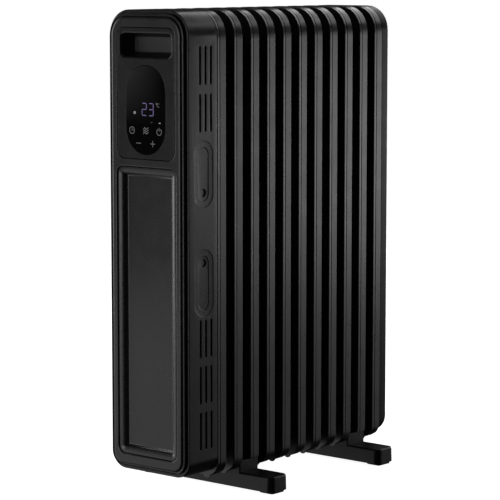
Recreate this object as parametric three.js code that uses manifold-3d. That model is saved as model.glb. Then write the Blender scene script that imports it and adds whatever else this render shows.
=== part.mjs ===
// Oil filled radiator heater: eleven pressed steel fins on two oil headers, a control housing at
// the front, an end cover at the back and two cross feet. Millimetres, +Z up, front facing -Y.
// Lengths along Y are measured from the joint between the fascia and the housing, and the whole
// heater is then moved so that its origin is the middle of its footprint on the floor.
import * as THREE from "three";
import { mergeVertices } from "three/addons/utils/BufferGeometryUtils.js";
import Module from "manifold-3d";

const wasm = await Module();
wasm.setup();

// Driving dimensions: the body.
const BODY_HALF = 70;
const BODY_TOP = 646.5;
const TOP_RADIUS = 34.5;
const CASE_BOTTOM = 33;
const CASE_BOTTOM_RADIUS = 24;
const GAP = 0.3;

// Fins and headers.
const FIN_COUNT = 11;
const FIN_PITCH = 33.7;
const FIN_FLANGE = 16.9;
const FIN_SHEET = 1.5;
const FIN_BEND = 2.5;
const FIN_BOTTOM = 27;
const FIN_BOTTOM_RADIUS = 20;
const FIRST_FIN = 56.3;
const CHANNEL_X = 47;
const CHANNEL_HALF = 10;
const CHANNEL_CREST = 6;
const CHANNEL_RISE = 4.2;
const CHANNEL_BOTTOM = 44;
const CHANNEL_TOP = 611;
const EAR_X = 50;
const EAR_Z = 31;
const EAR_RADIUS = 7;
const EAR_HOLE = 3;
const HEADER_Z = { lower: 74, upper: 566 };
const HEADER_RADIUS = 24;
const HEADER_BORE = 17;
const HEADER_SIDES = 12;
const SEATED_FINS = [3, 10];

// Housing, fascia and end cover.
const HOUSING_DEPTH = 56;
const HOUSING_WALL = 3;
const FASCIA_FRONT = -6;
const PANEL_FRONT = -5.8;
const BEZEL = { half: 50.6, bottom: 452.2, top: 623.6, radius: 12 };
const GRIP = { half: 46.5, bottom: 583.5, top: 617.8, radius: 9, depth: 24, draft: 6.5 };
const WINDOW = { half: 35.5, bottom: 457.6, top: 575 };
const LOWER_PANEL = { half: 51.4, bottom: 55.5, top: 440.5, radius: 10, slope: 11.5, depth: 7.8, back: 4 };
const SLOT_COLUMNS = [22.4, 33, 43.6];
const SLOT_HALF = 1.7;
const SLOT_ROWS = [[69.1, 119.6], [130.7, 180.9], [191.9, 242.6], [488.8, 538.6], [550.2, 600.6]];
const PILLS = [{ bottom: 246.6, top: 335.3, screw: 317.1 }, { bottom: 390.3, top: 477.4, screw: 409.6 }];
const PILL_Y = 29.4;
const PILL_STEPS = [{ half: 18.2, depth: 0.6, inset: 0 }, { half: 9.8, depth: 1.2, inset: 8.4 }];
const SCREW_CUP = { radius: 5.2, depth: 5.5, boss: 8, bossDepth: 8, pilot: 2, pilotDepth: 9 };
const SCREW = { head: 3.6, headOuter: 3.4, headInner: 5.2, shank: 1.6, end: 13 };
const RIM = { inset: 8, back: 3, round: 2.5 };
const RIDGE = { inset: 4.6, front: -2.8, back: 2 };
const LEDGE = { front: 1.2, back: 4 };
const BEZEL_BACK = -3;
const GRIP_WALL = 2;
const GLASS_BACK = -3.2;
const INLET = { x: -25, y: 30, neck: 7, flange: 10.5, bore: 3.6, bottom: 27, top: 44, lip: 1 };
const SHIELD = { y: 38, half: 60.5, sheet: 1, front: 22, bottom: 56, top: 616, pin: 2.2 };
const COVER_DEPTH = 16.4;
const COVER_WALL = 2.5;
const COVER_ROUND = 4;

// Feet.
const FOOT_LEAD = 14.7;
const FOOT_DEPTH = 38.6;
const FOOT_HALF = 118;
const FOOT_UNDERSIDE = 2.8;
const FOOT_BAR_TOP = 24;
const FOOT_BLOCK_HALF = 63;
const FOOT_BLOCK_TOP = 40;
const FOOT_WALL = 3;
const FOOT_RIB_HALF = 12;
const FOOT_CORNER = 10;
const PAD_X = 103.5;
const PAD_HALF = 11.5;
const PAD_DEPTH_HALF = 13;
const BOLT_LEAD = 5.7;
const BOLT_RADIUS = 2.5;
const BOLT_X = 27.5;
const BOLT_END = 22;
const WING_NUT = { hub: 5, height: 9, half: 12, thickness: 2.4, low: 13, high: 3 };

// Header fittings, the element and the parts inside the housing.
const PLUG = { radius: 21, filler: 4, end: 1.8 };
const ELEMENT = { head: 22, headDepth: 6, tab: 2, tabDepth: 17, tabX: 8, tabZ: 6 };
const HAIRPIN = { leg: 300, bend: 8, rod: 4, offset: 6, sides: 6, steps: 26 };
const CUTOUT = { z: 140, radius: 8, depth: 10 };
const TILT = { x: 36, y: [8, 30], z: 196, pin: 1.5, drop: 24, half: 19, wall: 2, under: 12, over: 10 };
const TILT_BOB = { hub: 4, arm: 3, radius: 7, play: 1 };
const INNER_BLOCKS = [
  { name: "light_guide", x: [-30, 30], y: [-2.9, 2], z: [464, 568], finish: "white" },
  { name: "display_board", x: [-32, 32], y: [2.3, 3.9], z: [462, 570], finish: "board" },
  { name: "power_board", x: [-50, 50], y: [30, 31.6], z: [250, 410], finish: "board" },
  { name: "relay_low", x: [-44, -28], y: [14, 29.7], z: [262, 290], finish: "white" },
  { name: "relay_high", x: [-20, -4], y: [14, 29.7], z: [262, 290], finish: "white" },
  { name: "supply_transformer", x: [10, 40], y: [6, 29.7], z: [340, 376], finish: "steel" },
  { name: "terminal_block", x: [-48, -8], y: [18, 36], z: [128, 146], finish: "white" },
];
const INNER_BARS = [
  { name: "room_sensor", from: [48, 12, 80], to: [48, 12, 98], radius: 2.5, finish: "white" },
  { name: "buzzer", from: [-36, 22, 384], to: [-36, 29.7, 384], radius: 6, finish: "rubber" },
];

const BLACK_STEEL = ["#1c1c1d", 0.42, 0.35];
const BLACK_PLASTIC = ["#1a1a1b", 0.5, 0];
const GLOSS_BLACK = ["#060607", 0.08, 0];
const BARE_STEEL = ["#a7a9ab", 0.35, 0.9];
const BOARD_GREEN = ["#1f5a3a", 0.6, 0];
const PART_WHITE = ["#d9d8d2", 0.5, 0];
const BRASS = ["#b08d4a", 0.35, 0.9];
const RUBBER = ["#131313", 0.85, 0];

const finFront = (number) => FIRST_FIN + (number - 1) * FIN_PITCH;
const LAST_FIN_BACK = finFront(FIN_COUNT) + FIN_FLANGE;
const NECK = (FIN_PITCH - FIN_FLANGE) / 2;
const NECK_FRONT = FIRST_FIN - NECK;
const NECK_BACK = LAST_FIN_BACK + NECK;
const COVER_FRONT = LAST_FIN_BACK + GAP;
const COVER_BACK = COVER_FRONT + COVER_DEPTH;

// A closed three.js geometry as a solid that can be joined and cut.
function solid(geometry) {
  const bare = geometry.index ? geometry.toNonIndexed() : geometry;
  bare.deleteAttribute("normal");
  bare.deleteAttribute("uv");
  const merged = mergeVertices(bare, 1e-4);
  const vertProperties = new Float32Array(merged.attributes.position.array);
  const triVerts = new Uint32Array(merged.index.array);
  return new wasm.Manifold(new wasm.Mesh({ numProp: 3, vertProperties, triVerts }));
}

const join = (...solids) => solids.reduce((whole, piece) => whole.add(piece));

function arc(x, y, radius, start, steps) {
  const points = [];
  for (let i = 0; i <= steps; i += 1) {
    const angle = start + (Math.PI / 2) * (i / steps);
    points.push(new THREE.Vector2(x + radius * Math.cos(angle), y + radius * Math.sin(angle)));
  }
  return points;
}

// The outline of an upright panel that is symmetric about x = 0, anticlockwise from its lower left.
function panel(half, bottom, top, bottomRadius, topRadius = bottomRadius, steps = 3, centre = 0) {
  const points = [
    ...arc(centre - half + bottomRadius, bottom + bottomRadius, bottomRadius, Math.PI, steps),
    ...arc(centre + half - bottomRadius, bottom + bottomRadius, bottomRadius, 1.5 * Math.PI, steps),
    ...arc(centre + half - topRadius, top - topRadius, topRadius, 0, steps),
    ...arc(centre - half + topRadius, top - topRadius, topRadius, 0.5 * Math.PI, steps),
  ];
  return points.filter((point, i) => point.distanceTo(points.at(i - 1)) > 0.01);
}

const pill = (half, bottom, top, steps = 3, centre = 0) =>
  panel(half, bottom, top, half, half, steps, centre);

// The outline in x and z, pushed through from y = front to y = back.
function prismGeometry(outline, front, back, settings = { bevelEnabled: false }) {
  const shape = new THREE.Shape(outline);
  const geometry = new THREE.ExtrudeGeometry(shape, { depth: back - front, ...settings });
  return geometry.rotateX(Math.PI / 2).translate(0, back, 0);
}

const prism = (outline, front, back) => solid(prismGeometry(outline, front, back));

// The outline in y and z, pushed sideways at the right (side = 1) or the left (side = -1).
function sidePrism(outline, side, inner, outer) {
  const shape = new THREE.Shape(outline);
  const geometry = new THREE.ExtrudeGeometry(shape, { depth: outer - inner, bevelEnabled: false });
  const [x, y, z] = [0, 1, 2].map((axis) => new THREE.Vector3().setComponent(axis, 1));
  geometry.applyMatrix4(new THREE.Matrix4().makeBasis(y, z, x));
  return solid(geometry.translate(side > 0 ? inner : -outer, 0, 0));
}

// A prism whose edge is rounded all the way round at both ends.
function roundedPrism(outline, front, back, round, steps) {
  const settings = {
    bevelThickness: round,
    bevelSize: round,
    bevelOffset: -round,
    bevelSegments: steps,
  };
  return solid(prismGeometry(outline, front + round, back - round, settings));
}

// A prism that narrows by the draft on every side towards its back.
function draftedPrism(outline, front, back, draft) {
  const geometry = prismGeometry(outline, front, back);
  geometry.computeBoundingBox();
  const centre = geometry.boundingBox.getCenter(new THREE.Vector3());
  const size = geometry.boundingBox.getSize(new THREE.Vector3());
  const scale = new THREE.Vector3(1 - (2 * draft) / size.x, 1, 1 - (2 * draft) / size.z);
  const position = geometry.attributes.position;
  for (let i = 0; i < position.count; i += 1) {
    const point = new THREE.Vector3().fromBufferAttribute(position, i);
    if (point.y > centre.y) {
      point.sub(centre).multiply(scale).add(centre);
    }
    position.setXYZ(i, point.x, point.y, point.z);
  }
  return solid(geometry);
}

function block(x, y, z) {
  const geometry = new THREE.BoxGeometry(x[1] - x[0], y[1] - y[0], z[1] - z[0]);
  return solid(geometry.translate((x[0] + x[1]) / 2, (y[0] + y[1]) / 2, (z[0] + z[1]) / 2));
}

// A round bar between two points.
function bar(from, to, radius, sides = 16) {
  const start = new THREE.Vector3(...from);
  const along = new THREE.Vector3(...to).sub(start);
  const geometry = new THREE.CylinderGeometry(radius, radius, along.length(), sides);
  const turn = new THREE.Quaternion().setFromUnitVectors(
    new THREE.Vector3(0, 1, 0),
    along.clone().normalize(),
  );
  const middle = start.addScaledVector(along, 0.5);
  return solid(geometry.applyQuaternion(turn).translate(middle.x, middle.y, middle.z));
}

const outside = (half, bottom, bottomRadius, inset = 0, steps = 3) =>
  panel(
    half - inset,
    bottom + inset,
    BODY_TOP - inset,
    bottomRadius - inset,
    TOP_RADIUS - inset,
    steps,
  );

// Two straight legs, one at each side of the middle, joined by a half turn at the far end.
class HairpinCurve extends THREE.Curve {
  constructor(leg, radius) {
    super();
    this.leg = leg;
    this.radius = radius;
  }

  getPoint(t, target = new THREE.Vector3()) {
    const bend = Math.PI * this.radius;
    const along = t * (2 * this.leg + bend);
    if (along < this.leg) {
      return target.set(-this.radius, along, 0);
    }
    if (along > this.leg + bend) {
      return target.set(this.radius, 2 * this.leg + bend - along, 0);
    }
    const angle = Math.PI - (along - this.leg) / this.radius;
    return target.set(this.radius * Math.cos(angle), this.leg + this.radius * Math.sin(angle), 0);
  }
}

function hairpin(leg, radius, rod, steps) {
  const circle = new THREE.EllipseCurve(0, 0, rod, rod).getPoints(HAIRPIN.sides);
  const section = new THREE.Shape(circle.slice(0, -1));
  const extrudePath = new HairpinCurve(leg, radius);
  return new THREE.ExtrudeGeometry(section, { steps, extrudePath, bevelEnabled: false });
}

// One fin: a web with a turned flange round it, two upright oil channels pressed into the web,
// an upper and a lower header neck, and two ears with a hanging hole at the bottom.
function fin(number) {
  const front = finFront(number);
  const back = front + FIN_FLANGE;
  const web = front + FIN_SHEET;
  const beyond = back + FIN_BEND;
  const edge = outside(BODY_HALF, FIN_BOTTOM, FIN_BOTTOM_RADIUS);
  const hollow = outside(BODY_HALF, FIN_BOTTOM, FIN_BOTTOM_RADIUS, FIN_SHEET);
  const openBottom = EAR_X + EAR_RADIUS;
  let sheet = roundedPrism(edge, front, beyond + FIN_BEND, FIN_BEND, 1)
    .subtract(block([-BODY_HALF, BODY_HALF], [back, beyond + 2 * FIN_BEND], [0, BODY_TOP]))
    .subtract(roundedPrism(hollow, web, beyond + FIN_BEND, FIN_BEND - FIN_SHEET, 1))
    .subtract(block([-openBottom, openBottom], [web, beyond], [0, FIN_BOTTOM + 2 * FIN_SHEET]));
  for (const side of [-1, 1]) {
    const ear = [side * EAR_X, EAR_Z];
    sheet = join(
      sheet,
      bar([ear[0], front, ear[1]], [ear[0], web, ear[1]], EAR_RADIUS, 8),
      channel(side * CHANNEL_X, front + FIN_SHEET / 2),
    ).subtract(bar([ear[0], front - 1, ear[1]], [ear[0], back, ear[1]], EAR_HOLE, 6));
  }
  for (const z of Object.values(HEADER_Z)) {
    sheet = sheet
      .add(bar([0, front - NECK, z], [0, back + NECK - GAP, z], HEADER_RADIUS, HEADER_SIDES))
      .subtract(bar([0, front - 2 * NECK, z], [0, back + 2 * NECK, z], HEADER_BORE, HEADER_SIDES));
  }
  if (SEATED_FINS.includes(number)) {
    const seat = FOOT_BLOCK_TOP + 1;
    sheet = sheet.subtract(block([-BODY_HALF, BODY_HALF], [front - NECK, beyond], [0, seat]));
  }
  return sheet;
}

// An upright oil channel of six sides, standing proud of both faces of the web.
function channel(x, middle) {
  const rise = FIN_SHEET / 2 + CHANNEL_RISE;
  const section = new THREE.Shape([
    new THREE.Vector2(x - CHANNEL_HALF, middle),
    new THREE.Vector2(x - CHANNEL_CREST, middle - rise),
    new THREE.Vector2(x + CHANNEL_CREST, middle - rise),
    new THREE.Vector2(x + CHANNEL_HALF, middle),
    new THREE.Vector2(x + CHANNEL_CREST, middle + rise),
    new THREE.Vector2(x - CHANNEL_CREST, middle + rise),
  ]);
  const depth = CHANNEL_TOP - CHANNEL_BOTTOM;
  const geometry = new THREE.ExtrudeGeometry(section, { depth, bevelEnabled: false });
  return solid(geometry.translate(0, 0, CHANNEL_BOTTOM));
}

// The housing round the controls, open at the front and the back, with air slots, two long
// stepped pills and two screw cups in each side, and a round cord inlet underneath.
function housing() {
  let shell = prism(outside(BODY_HALF, CASE_BOTTOM, CASE_BOTTOM_RADIUS), 0, HOUSING_DEPTH - GAP)
    .subtract(
      prism(outside(BODY_HALF, CASE_BOTTOM, CASE_BOTTOM_RADIUS, HOUSING_WALL), -1, HOUSING_DEPTH + 1),
    );
  for (const side of [-1, 1]) {
    for (const { bottom, top, screw } of PILLS) {
      const at = (x) => [side * x, PILL_Y, screw];
      const { boss, bossDepth, radius, depth: cupDepth, pilot, pilotDepth } = SCREW_CUP;
      shell = shell.add(bar(at(BODY_HALF - 1.5), at(BODY_HALF - bossDepth), boss, 12));
      for (const { half, depth, inset } of PILL_STEPS) {
        const outline = pill(half, bottom + inset, top - inset, 3, PILL_Y);
        shell = shell.subtract(sidePrism(outline, side, BODY_HALF - depth, BODY_HALF + 5));
      }
      shell = shell
        .subtract(bar(at(BODY_HALF + 1), at(BODY_HALF - cupDepth), radius, 12))
        .subtract(bar(at(BODY_HALF), at(BODY_HALF - pilotDepth), pilot, 8));
    }
    for (const y of SLOT_COLUMNS) {
      for (const [bottom, top] of SLOT_ROWS) {
        const outline = pill(SLOT_HALF, bottom, top, 1, y);
        shell = shell.subtract(sidePrism(outline, side, BODY_HALF - 2 * HOUSING_WALL, BODY_HALF + 5));
      }
    }
  }
  const at = (z) => [INLET.x, INLET.y, z];
  return shell.subtract(bar(at(INLET.bottom), at(INLET.top), INLET.neck + GAP, 12));
}

// The bush that the mains cord leaves through: a flange outside, a neck through the wall.
function cordInlet() {
  const at = (z) => [INLET.x, INLET.y, z];
  return bar(at(INLET.bottom), at(CASE_BOTTOM - GAP), INLET.flange, 16)
    .add(bar(at(INLET.bottom + INLET.lip), at(INLET.top), INLET.neck, 16))
    .subtract(bar(at(INLET.bottom - 1), at(INLET.top + 1), INLET.bore, 12));
}

const bezelOutline = (extra) =>
  panel(
    BEZEL.half + extra,
    BEZEL.bottom - extra,
    BEZEL.top + extra,
    BEZEL.radius + extra,
  );

const lowerOutline = (extra) =>
  panel(
    LOWER_PANEL.half + extra,
    LOWER_PANEL.bottom - extra,
    LOWER_PANEL.top + extra,
    LOWER_PANEL.radius + extra,
  );

const gripOutline = (extra) =>
  panel(GRIP.half + extra, GRIP.bottom - extra, GRIP.top + extra, GRIP.radius + extra, undefined, 3);

// The frame of the front: a proud inner rim, a lower ridge round it and a ledge inside the housing.
function fascia() {
  const level = (inset, front, back) =>
    prism(outside(BODY_HALF, CASE_BOTTOM, CASE_BOTTOM_RADIUS, inset), front, back);
  const rim = outside(BODY_HALF, CASE_BOTTOM, CASE_BOTTOM_RADIUS, RIM.inset);
  return join(
    roundedPrism(rim, FASCIA_FRONT, RIM.back, RIM.round, 1),
    level(RIDGE.inset, RIDGE.front, RIDGE.back),
    level(HOUSING_WALL + GAP, LEDGE.front, LEDGE.back),
  )
    .subtract(prism(bezelOutline(GAP), FASCIA_FRONT - 1, LEDGE.back + 1))
    .subtract(prism(lowerOutline(GAP), FASCIA_FRONT - 1, LEDGE.back + 1));
}

const controlBezel = () =>
  prism(bezelOutline(0), PANEL_FRONT, BEZEL_BACK)
    .subtract(prism(gripOutline(0), PANEL_FRONT - 1, BEZEL_BACK + 1))
    .subtract(
      prism(pill(WINDOW.half, WINDOW.bottom, WINDOW.top, 6), PANEL_FRONT - 1, BEZEL_BACK + 1),
    );

// The hand grip: a flange behind the bezel and a drafted pocket behind the opening.
function gripRecess() {
  const front = BEZEL_BACK + GAP;
  const back = GRIP.depth + BEZEL_BACK;
  return prism(gripOutline(GRIP_WALL + 1), front, front + GRIP_WALL)
    .add(draftedPrism(gripOutline(GRIP_WALL), front, back, GRIP.draft))
    .subtract(draftedPrism(gripOutline(0), front - 1, back - GRIP_WALL, GRIP.draft));
}

const displayGlass = () =>
  prism(pill(WINDOW.half - GAP, WINDOW.bottom + GAP, WINDOW.top - GAP, 8), PANEL_FRONT, GLASS_BACK);

// The lower panel: a plate with a shallow pan whose sides slope.
function lowerPanel() {
  const pan = draftedPrism(
    lowerOutline(LOWER_PANEL.slope - 1.2),
    PANEL_FRONT - LOWER_PANEL.depth,
    PANEL_FRONT + LOWER_PANEL.depth,
    2 * LOWER_PANEL.slope,
  );
  return prism(lowerOutline(0), PANEL_FRONT, LOWER_PANEL.back).subtract(pan);
}

// The heat shield: a plate behind the electronics, folded forward at both sides for the screws.
function heatShield() {
  const { y, half, sheet, front, bottom, top, pin } = SHIELD;
  const pins = PILLS.map(({ screw }) =>
    bar([-BODY_HALF, PILL_Y, screw], [BODY_HALF, PILL_Y, screw], pin, 8),
  );
  const windows = Object.values(HEADER_Z).map((height) =>
    bar([0, y - 1, height], [0, y + 3, height], HEADER_RADIUS + 1, 20),
  );
  const plate = join(
    block([-half, half], [y, y + sheet], [bottom, top]),
    block([-half, -half + sheet], [front, y + sheet], [bottom, top]),
    block([half - sheet, half], [front, y + sheet], [bottom, top]),
  );
  return [...pins, ...windows].reduce((whole, cut) => whole.subtract(cut), plate);
}

// The end cover: a shallow cap with a rounded back edge.
function rearCover() {
  const outline = outside(BODY_HALF, CASE_BOTTOM, CASE_BOTTOM_RADIUS);
  const inner = outside(BODY_HALF, CASE_BOTTOM, CASE_BOTTOM_RADIUS, COVER_WALL);
  return roundedPrism(outline, COVER_FRONT - COVER_ROUND, COVER_BACK, COVER_ROUND, 3)
    .subtract(block([-BODY_HALF, BODY_HALF], [COVER_FRONT - COVER_ROUND - 1, COVER_FRONT], [0, BODY_TOP]))
    .subtract(prism(inner, COVER_FRONT - 1, COVER_BACK - COVER_WALL));
}

// One cross foot: a bar, the raised block that carries the fin, and pockets in its underside.
function foot(front) {
  const back = front + FOOT_DEPTH;
  const centre = (front + back) / 2;
  const plan = new THREE.Shape(
    panel(FOOT_HALF, centre - FOOT_DEPTH / 2, centre + FOOT_DEPTH / 2, FOOT_CORNER),
  );
  const depth = FOOT_BAR_TOP - FOOT_UNDERSIDE;
  const beam = solid(
    new THREE.ExtrudeGeometry(plan, { depth, bevelEnabled: false }).translate(0, 0, FOOT_UNDERSIDE),
  );
  const raised = block(
    [-FOOT_BLOCK_HALF, FOOT_BLOCK_HALF],
    [front, back],
    [FOOT_BAR_TOP - 1, FOOT_BLOCK_TOP],
  );
  let whole = beam.add(raised);
  const wall = FOOT_WALL;
  const bolt = front + FOOT_LEAD - BOLT_LEAD;
  const under = [FOOT_UNDERSIDE - 1, FOOT_BLOCK_TOP - 2 * wall];
  for (const side of [-1, 1]) {
    const span = (inner, outer) => [side * inner, side * outer].sort((a, b) => a - b);
    const pocket = span(FOOT_RIB_HALF, FOOT_BLOCK_HALF - wall);
    const end = span(FOOT_BLOCK_HALF + wall, PAD_X - PAD_HALF - 2);
    const x = side * BOLT_X;
    whole = whole
      .subtract(block(pocket, [front + wall, back - wall], under))
      .subtract(block(end, [front + wall, back - wall], [1, FOOT_BAR_TOP - wall]))
      .subtract(bar([x, bolt, 1], [x, bolt, FOOT_BLOCK_TOP + 1], BOLT_RADIUS + GAP, 8));
  }
  return whole;
}

function footPad(side, front) {
  const centre = front + FOOT_DEPTH / 2;
  return block(
    [side * PAD_X - PAD_HALF, side * PAD_X + PAD_HALF],
    [centre - PAD_DEPTH_HALF, centre + PAD_DEPTH_HALF],
    [0, FOOT_UNDERSIDE - GAP],
  );
}

// A U-bolt over the lower header, its legs down through the foot.
function headerBolt(front) {
  const y = front + FOOT_LEAD - BOLT_LEAD;
  const geometry = hairpin(HEADER_Z.lower - BOLT_END, BOLT_X, BOLT_RADIUS, 18);
  return solid(geometry.rotateX(Math.PI / 2).translate(0, y, BOLT_END));
}

function wingNut(side, front) {
  const x = side * BOLT_X;
  const y = front + FOOT_LEAD - BOLT_LEAD;
  const top = FOOT_BLOCK_TOP - 2 * FOOT_WALL - GAP;
  const { hub: radius, height, half, thickness, low, high } = WING_NUT;
  const hub = bar([x, y, top - height], [x, y, top], radius, 12);
  const wings = block(
    [x - half, x + half],
    [y - thickness / 2, y + thickness / 2],
    [top - low, top - high],
  );
  const stem = bar([x, y, top - low - 1], [x, y, top + 1], BOLT_RADIUS + GAP, 12);
  return hub.add(wings).subtract(stem);
}

// The immersion heater: a screwed plug with four terminals, and two hairpins inside the header.
function elementPlug() {
  const face = NECK_FRONT - GAP;
  const { head, headDepth, tab, tabDepth, tabX, tabZ } = ELEMENT;
  let plug = bar([0, face - headDepth, HEADER_Z.lower], [0, face, HEADER_Z.lower], head, 6);
  for (const x of [-tabX, tabX]) {
    for (const z of [-tabZ, tabZ]) {
      const height = HEADER_Z.lower + z;
      plug = plug.add(bar([x, face - tabDepth, height], [x, face - 1, height], tab, 8));
    }
  }
  return plug;
}

function elementHairpin(offset) {
  const { leg, bend, rod, steps } = HAIRPIN;
  const geometry = hairpin(leg, bend, rod, steps);
  return solid(geometry.translate(0, NECK_FRONT + GAP, HEADER_Z.lower + offset));
}

function headerPlug(z, face, thickness) {
  return bar([0, face, z], [0, face + thickness, z], PLUG.radius, 20);
}

// The tip-over switch: two cheeks on a back plate, a pin between them and a weight on the pin.
function tiltCase() {
  const { x, y, z, half, wall, drop, under, over } = TILT;
  const across = [x - half, x + half];
  const up = [z - drop - under, z + over];
  return join(
    block(across, [y[0], y[0] + wall], up),
    block(across, [y[1] - wall, y[1]], up),
    block(across, y, [z + over - wall, z + over]),
  ).subtract(bar([x, y[0] - 1, z], [x, y[1] + 1, z], TILT.pin + GAP, 12));
}

const tiltPin = () =>
  bar([TILT.x, TILT.y[0] - 0.5, TILT.z], [TILT.x, TILT.y[1] + 0.5, TILT.z], TILT.pin, 12);

function tiltWeight() {
  const { x, y, z, pin, drop, wall } = TILT;
  const { hub, arm, radius, play } = TILT_BOB;
  const span = [y[0] + wall + play, y[1] - wall - play];
  const middle = (y[0] + y[1]) / 2;
  return join(
    bar([x, span[0], z], [x, span[1], z], hub, 12),
    block([x - arm / 2, x + arm / 2], [middle - arm, middle + arm], [z - drop, z - hub / 2]),
    bar([x, span[0], z - drop], [x, span[1], z - drop], radius, 16),
  ).subtract(bar([x, y[0], z], [x, y[1], z], pin + GAP, 12));
}

function screw(side, height) {
  const at = (x) => [side * x, PILL_Y, height];
  return join(
    bar(at(BODY_HALF - SCREW.headInner), at(BODY_HALF - SCREW.headOuter), SCREW.head, 12),
    bar(at(BODY_HALF - SCREW.headInner + GAP), at(BODY_HALF - SCREW.end), SCREW.shank, 8),
  );
}

const heater = new THREE.Group();
heater.position.y = -(FASCIA_FRONT + COVER_BACK) / 2;

function add(name, shape, [color, roughness, metalness]) {
  const { numProp, vertProperties, triVerts } = shape.getMesh();
  const geometry = new THREE.BufferGeometry();
  geometry.setAttribute("position", new THREE.BufferAttribute(vertProperties, numProp));
  geometry.setIndex(new THREE.BufferAttribute(triVerts, 1));
  const mesh = new THREE.Mesh(
    geometry,
    new THREE.MeshStandardMaterial({ color, roughness, metalness }),
  );
  mesh.name = name;
  heater.add(mesh);
}

add("housing_shell", housing(), BLACK_PLASTIC);
add("front_fascia", fascia(), BLACK_PLASTIC);
add("control_bezel", controlBezel(), BLACK_PLASTIC);
add("grip_recess", gripRecess(), BLACK_PLASTIC);
add("display_glass", displayGlass(), GLOSS_BLACK);
add("lower_panel", lowerPanel(), BLACK_PLASTIC);
add("rear_cover", rearCover(), BLACK_PLASTIC);
add("heat_shield", heatShield(), BARE_STEEL);
add("cord_inlet", cordInlet(), RUBBER);

for (let number = 1; number <= FIN_COUNT; number += 1) {
  add(`fin_${String(number).padStart(2, "0")}`, fin(number), BLACK_STEEL);
}

const fillerFace = NECK_FRONT - PLUG.filler - GAP;
add("oil_filler_plug", headerPlug(HEADER_Z.upper, fillerFace, PLUG.filler), BRASS);
add("upper_end_plug", headerPlug(HEADER_Z.upper, NECK_BACK, PLUG.end), BARE_STEEL);
add("lower_end_plug", headerPlug(HEADER_Z.lower, NECK_BACK, PLUG.end), BARE_STEEL);
add("element_plug", elementPlug(), BRASS);
add("element_hairpin_low", elementHairpin(-HAIRPIN.offset), BARE_STEEL);
add("element_hairpin_high", elementHairpin(HAIRPIN.offset), BARE_STEEL);

for (const [place, number] of [["front", SEATED_FINS[0]], ["rear", SEATED_FINS[1]]]) {
  const front = finFront(number) - FOOT_LEAD;
  add(`${place}_foot`, foot(front), BLACK_PLASTIC);
  add(`${place}_foot_bolt`, headerBolt(front), BARE_STEEL);
  for (const [hand, side] of [["left", -1], ["right", 1]]) {
    add(`${place}_foot_pad_${hand}`, footPad(side, front), RUBBER);
    add(`${place}_wing_nut_${hand}`, wingNut(side, front), BARE_STEEL);
  }
}

for (const [hand, side] of [["left", -1], ["right", 1]]) {
  add(`housing_screw_lower_${hand}`, screw(side, PILLS[0].screw), BARE_STEEL);
  add(`housing_screw_upper_${hand}`, screw(side, PILLS[1].screw), BARE_STEEL);
}

const INNER_FINISHES = {
  white: PART_WHITE,
  board: BOARD_GREEN,
  steel: BARE_STEEL,
  rubber: RUBBER,
};
for (const { name, x, y, z, finish } of INNER_BLOCKS) {
  add(name, block(x, y, z), INNER_FINISHES[finish]);
}
for (const { name, from, to, radius, finish } of INNER_BARS) {
  add(name, bar(from, to, radius), INNER_FINISHES[finish]);
}
add(
  "thermal_cutout",
  bar([0, FIRST_FIN - CUTOUT.depth, CUTOUT.z], [0, FIRST_FIN - GAP, CUTOUT.z], CUTOUT.radius),
  BARE_STEEL,
);
add("tilt_switch_case", tiltCase(), PART_WHITE);
add("tilt_switch_pin", tiltPin(), BARE_STEEL);
add("tilt_switch_weight", tiltWeight(), BRASS);

export default heater;
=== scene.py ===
"""Oil filled radiator heater: the visible pieces, their finishes and the stage around them."""
import math

import bmesh
import bpy
from bpy.props import FloatProperty, FloatVectorProperty, IntProperty, PointerProperty
from mathutils import Matrix, Vector


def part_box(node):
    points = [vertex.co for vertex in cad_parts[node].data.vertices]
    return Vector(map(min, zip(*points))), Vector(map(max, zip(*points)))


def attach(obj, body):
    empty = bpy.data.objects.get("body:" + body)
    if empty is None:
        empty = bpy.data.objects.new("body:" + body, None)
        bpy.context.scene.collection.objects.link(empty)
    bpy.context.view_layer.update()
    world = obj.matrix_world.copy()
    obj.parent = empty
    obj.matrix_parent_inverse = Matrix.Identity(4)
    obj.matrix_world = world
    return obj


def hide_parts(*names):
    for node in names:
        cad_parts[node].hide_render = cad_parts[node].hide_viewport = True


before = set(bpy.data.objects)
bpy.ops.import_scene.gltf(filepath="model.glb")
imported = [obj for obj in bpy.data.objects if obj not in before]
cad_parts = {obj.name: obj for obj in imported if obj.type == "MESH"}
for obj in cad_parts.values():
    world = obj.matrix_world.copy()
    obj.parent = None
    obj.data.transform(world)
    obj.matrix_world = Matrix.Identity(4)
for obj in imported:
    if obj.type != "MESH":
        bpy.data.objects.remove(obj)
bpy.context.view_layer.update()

bl_info = {
    "name": "Oil filled radiator heater",
    "version": (1, 0, 0),
    "blender": (4, 5, 0),
    "location": "3D View > Sidebar > Heater",
    "description": "Builds the pieces of an oil filled radiator heater round its packed frame",
    "category": "Add Mesh",
}

MM = 0.001
CLOSE = 0.002 * MM
BODY = "heater"

# Lengths below are in millimetres. Depths are measured backwards from the joint between the
# fascia and the housing, which is where the housing starts.
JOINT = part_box("housing_shell")[0].y / MM
BODY_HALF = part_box("housing_shell")[1].x / MM
BODY_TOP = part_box("housing_shell")[1].z / MM
CASE_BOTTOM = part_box("housing_shell")[0].z / MM
HOUSING_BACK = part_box("housing_shell")[1].y / MM - JOINT
TOP_RADIUS = 34.5
CASE_RADIUS = 24
WALL = 3

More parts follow.
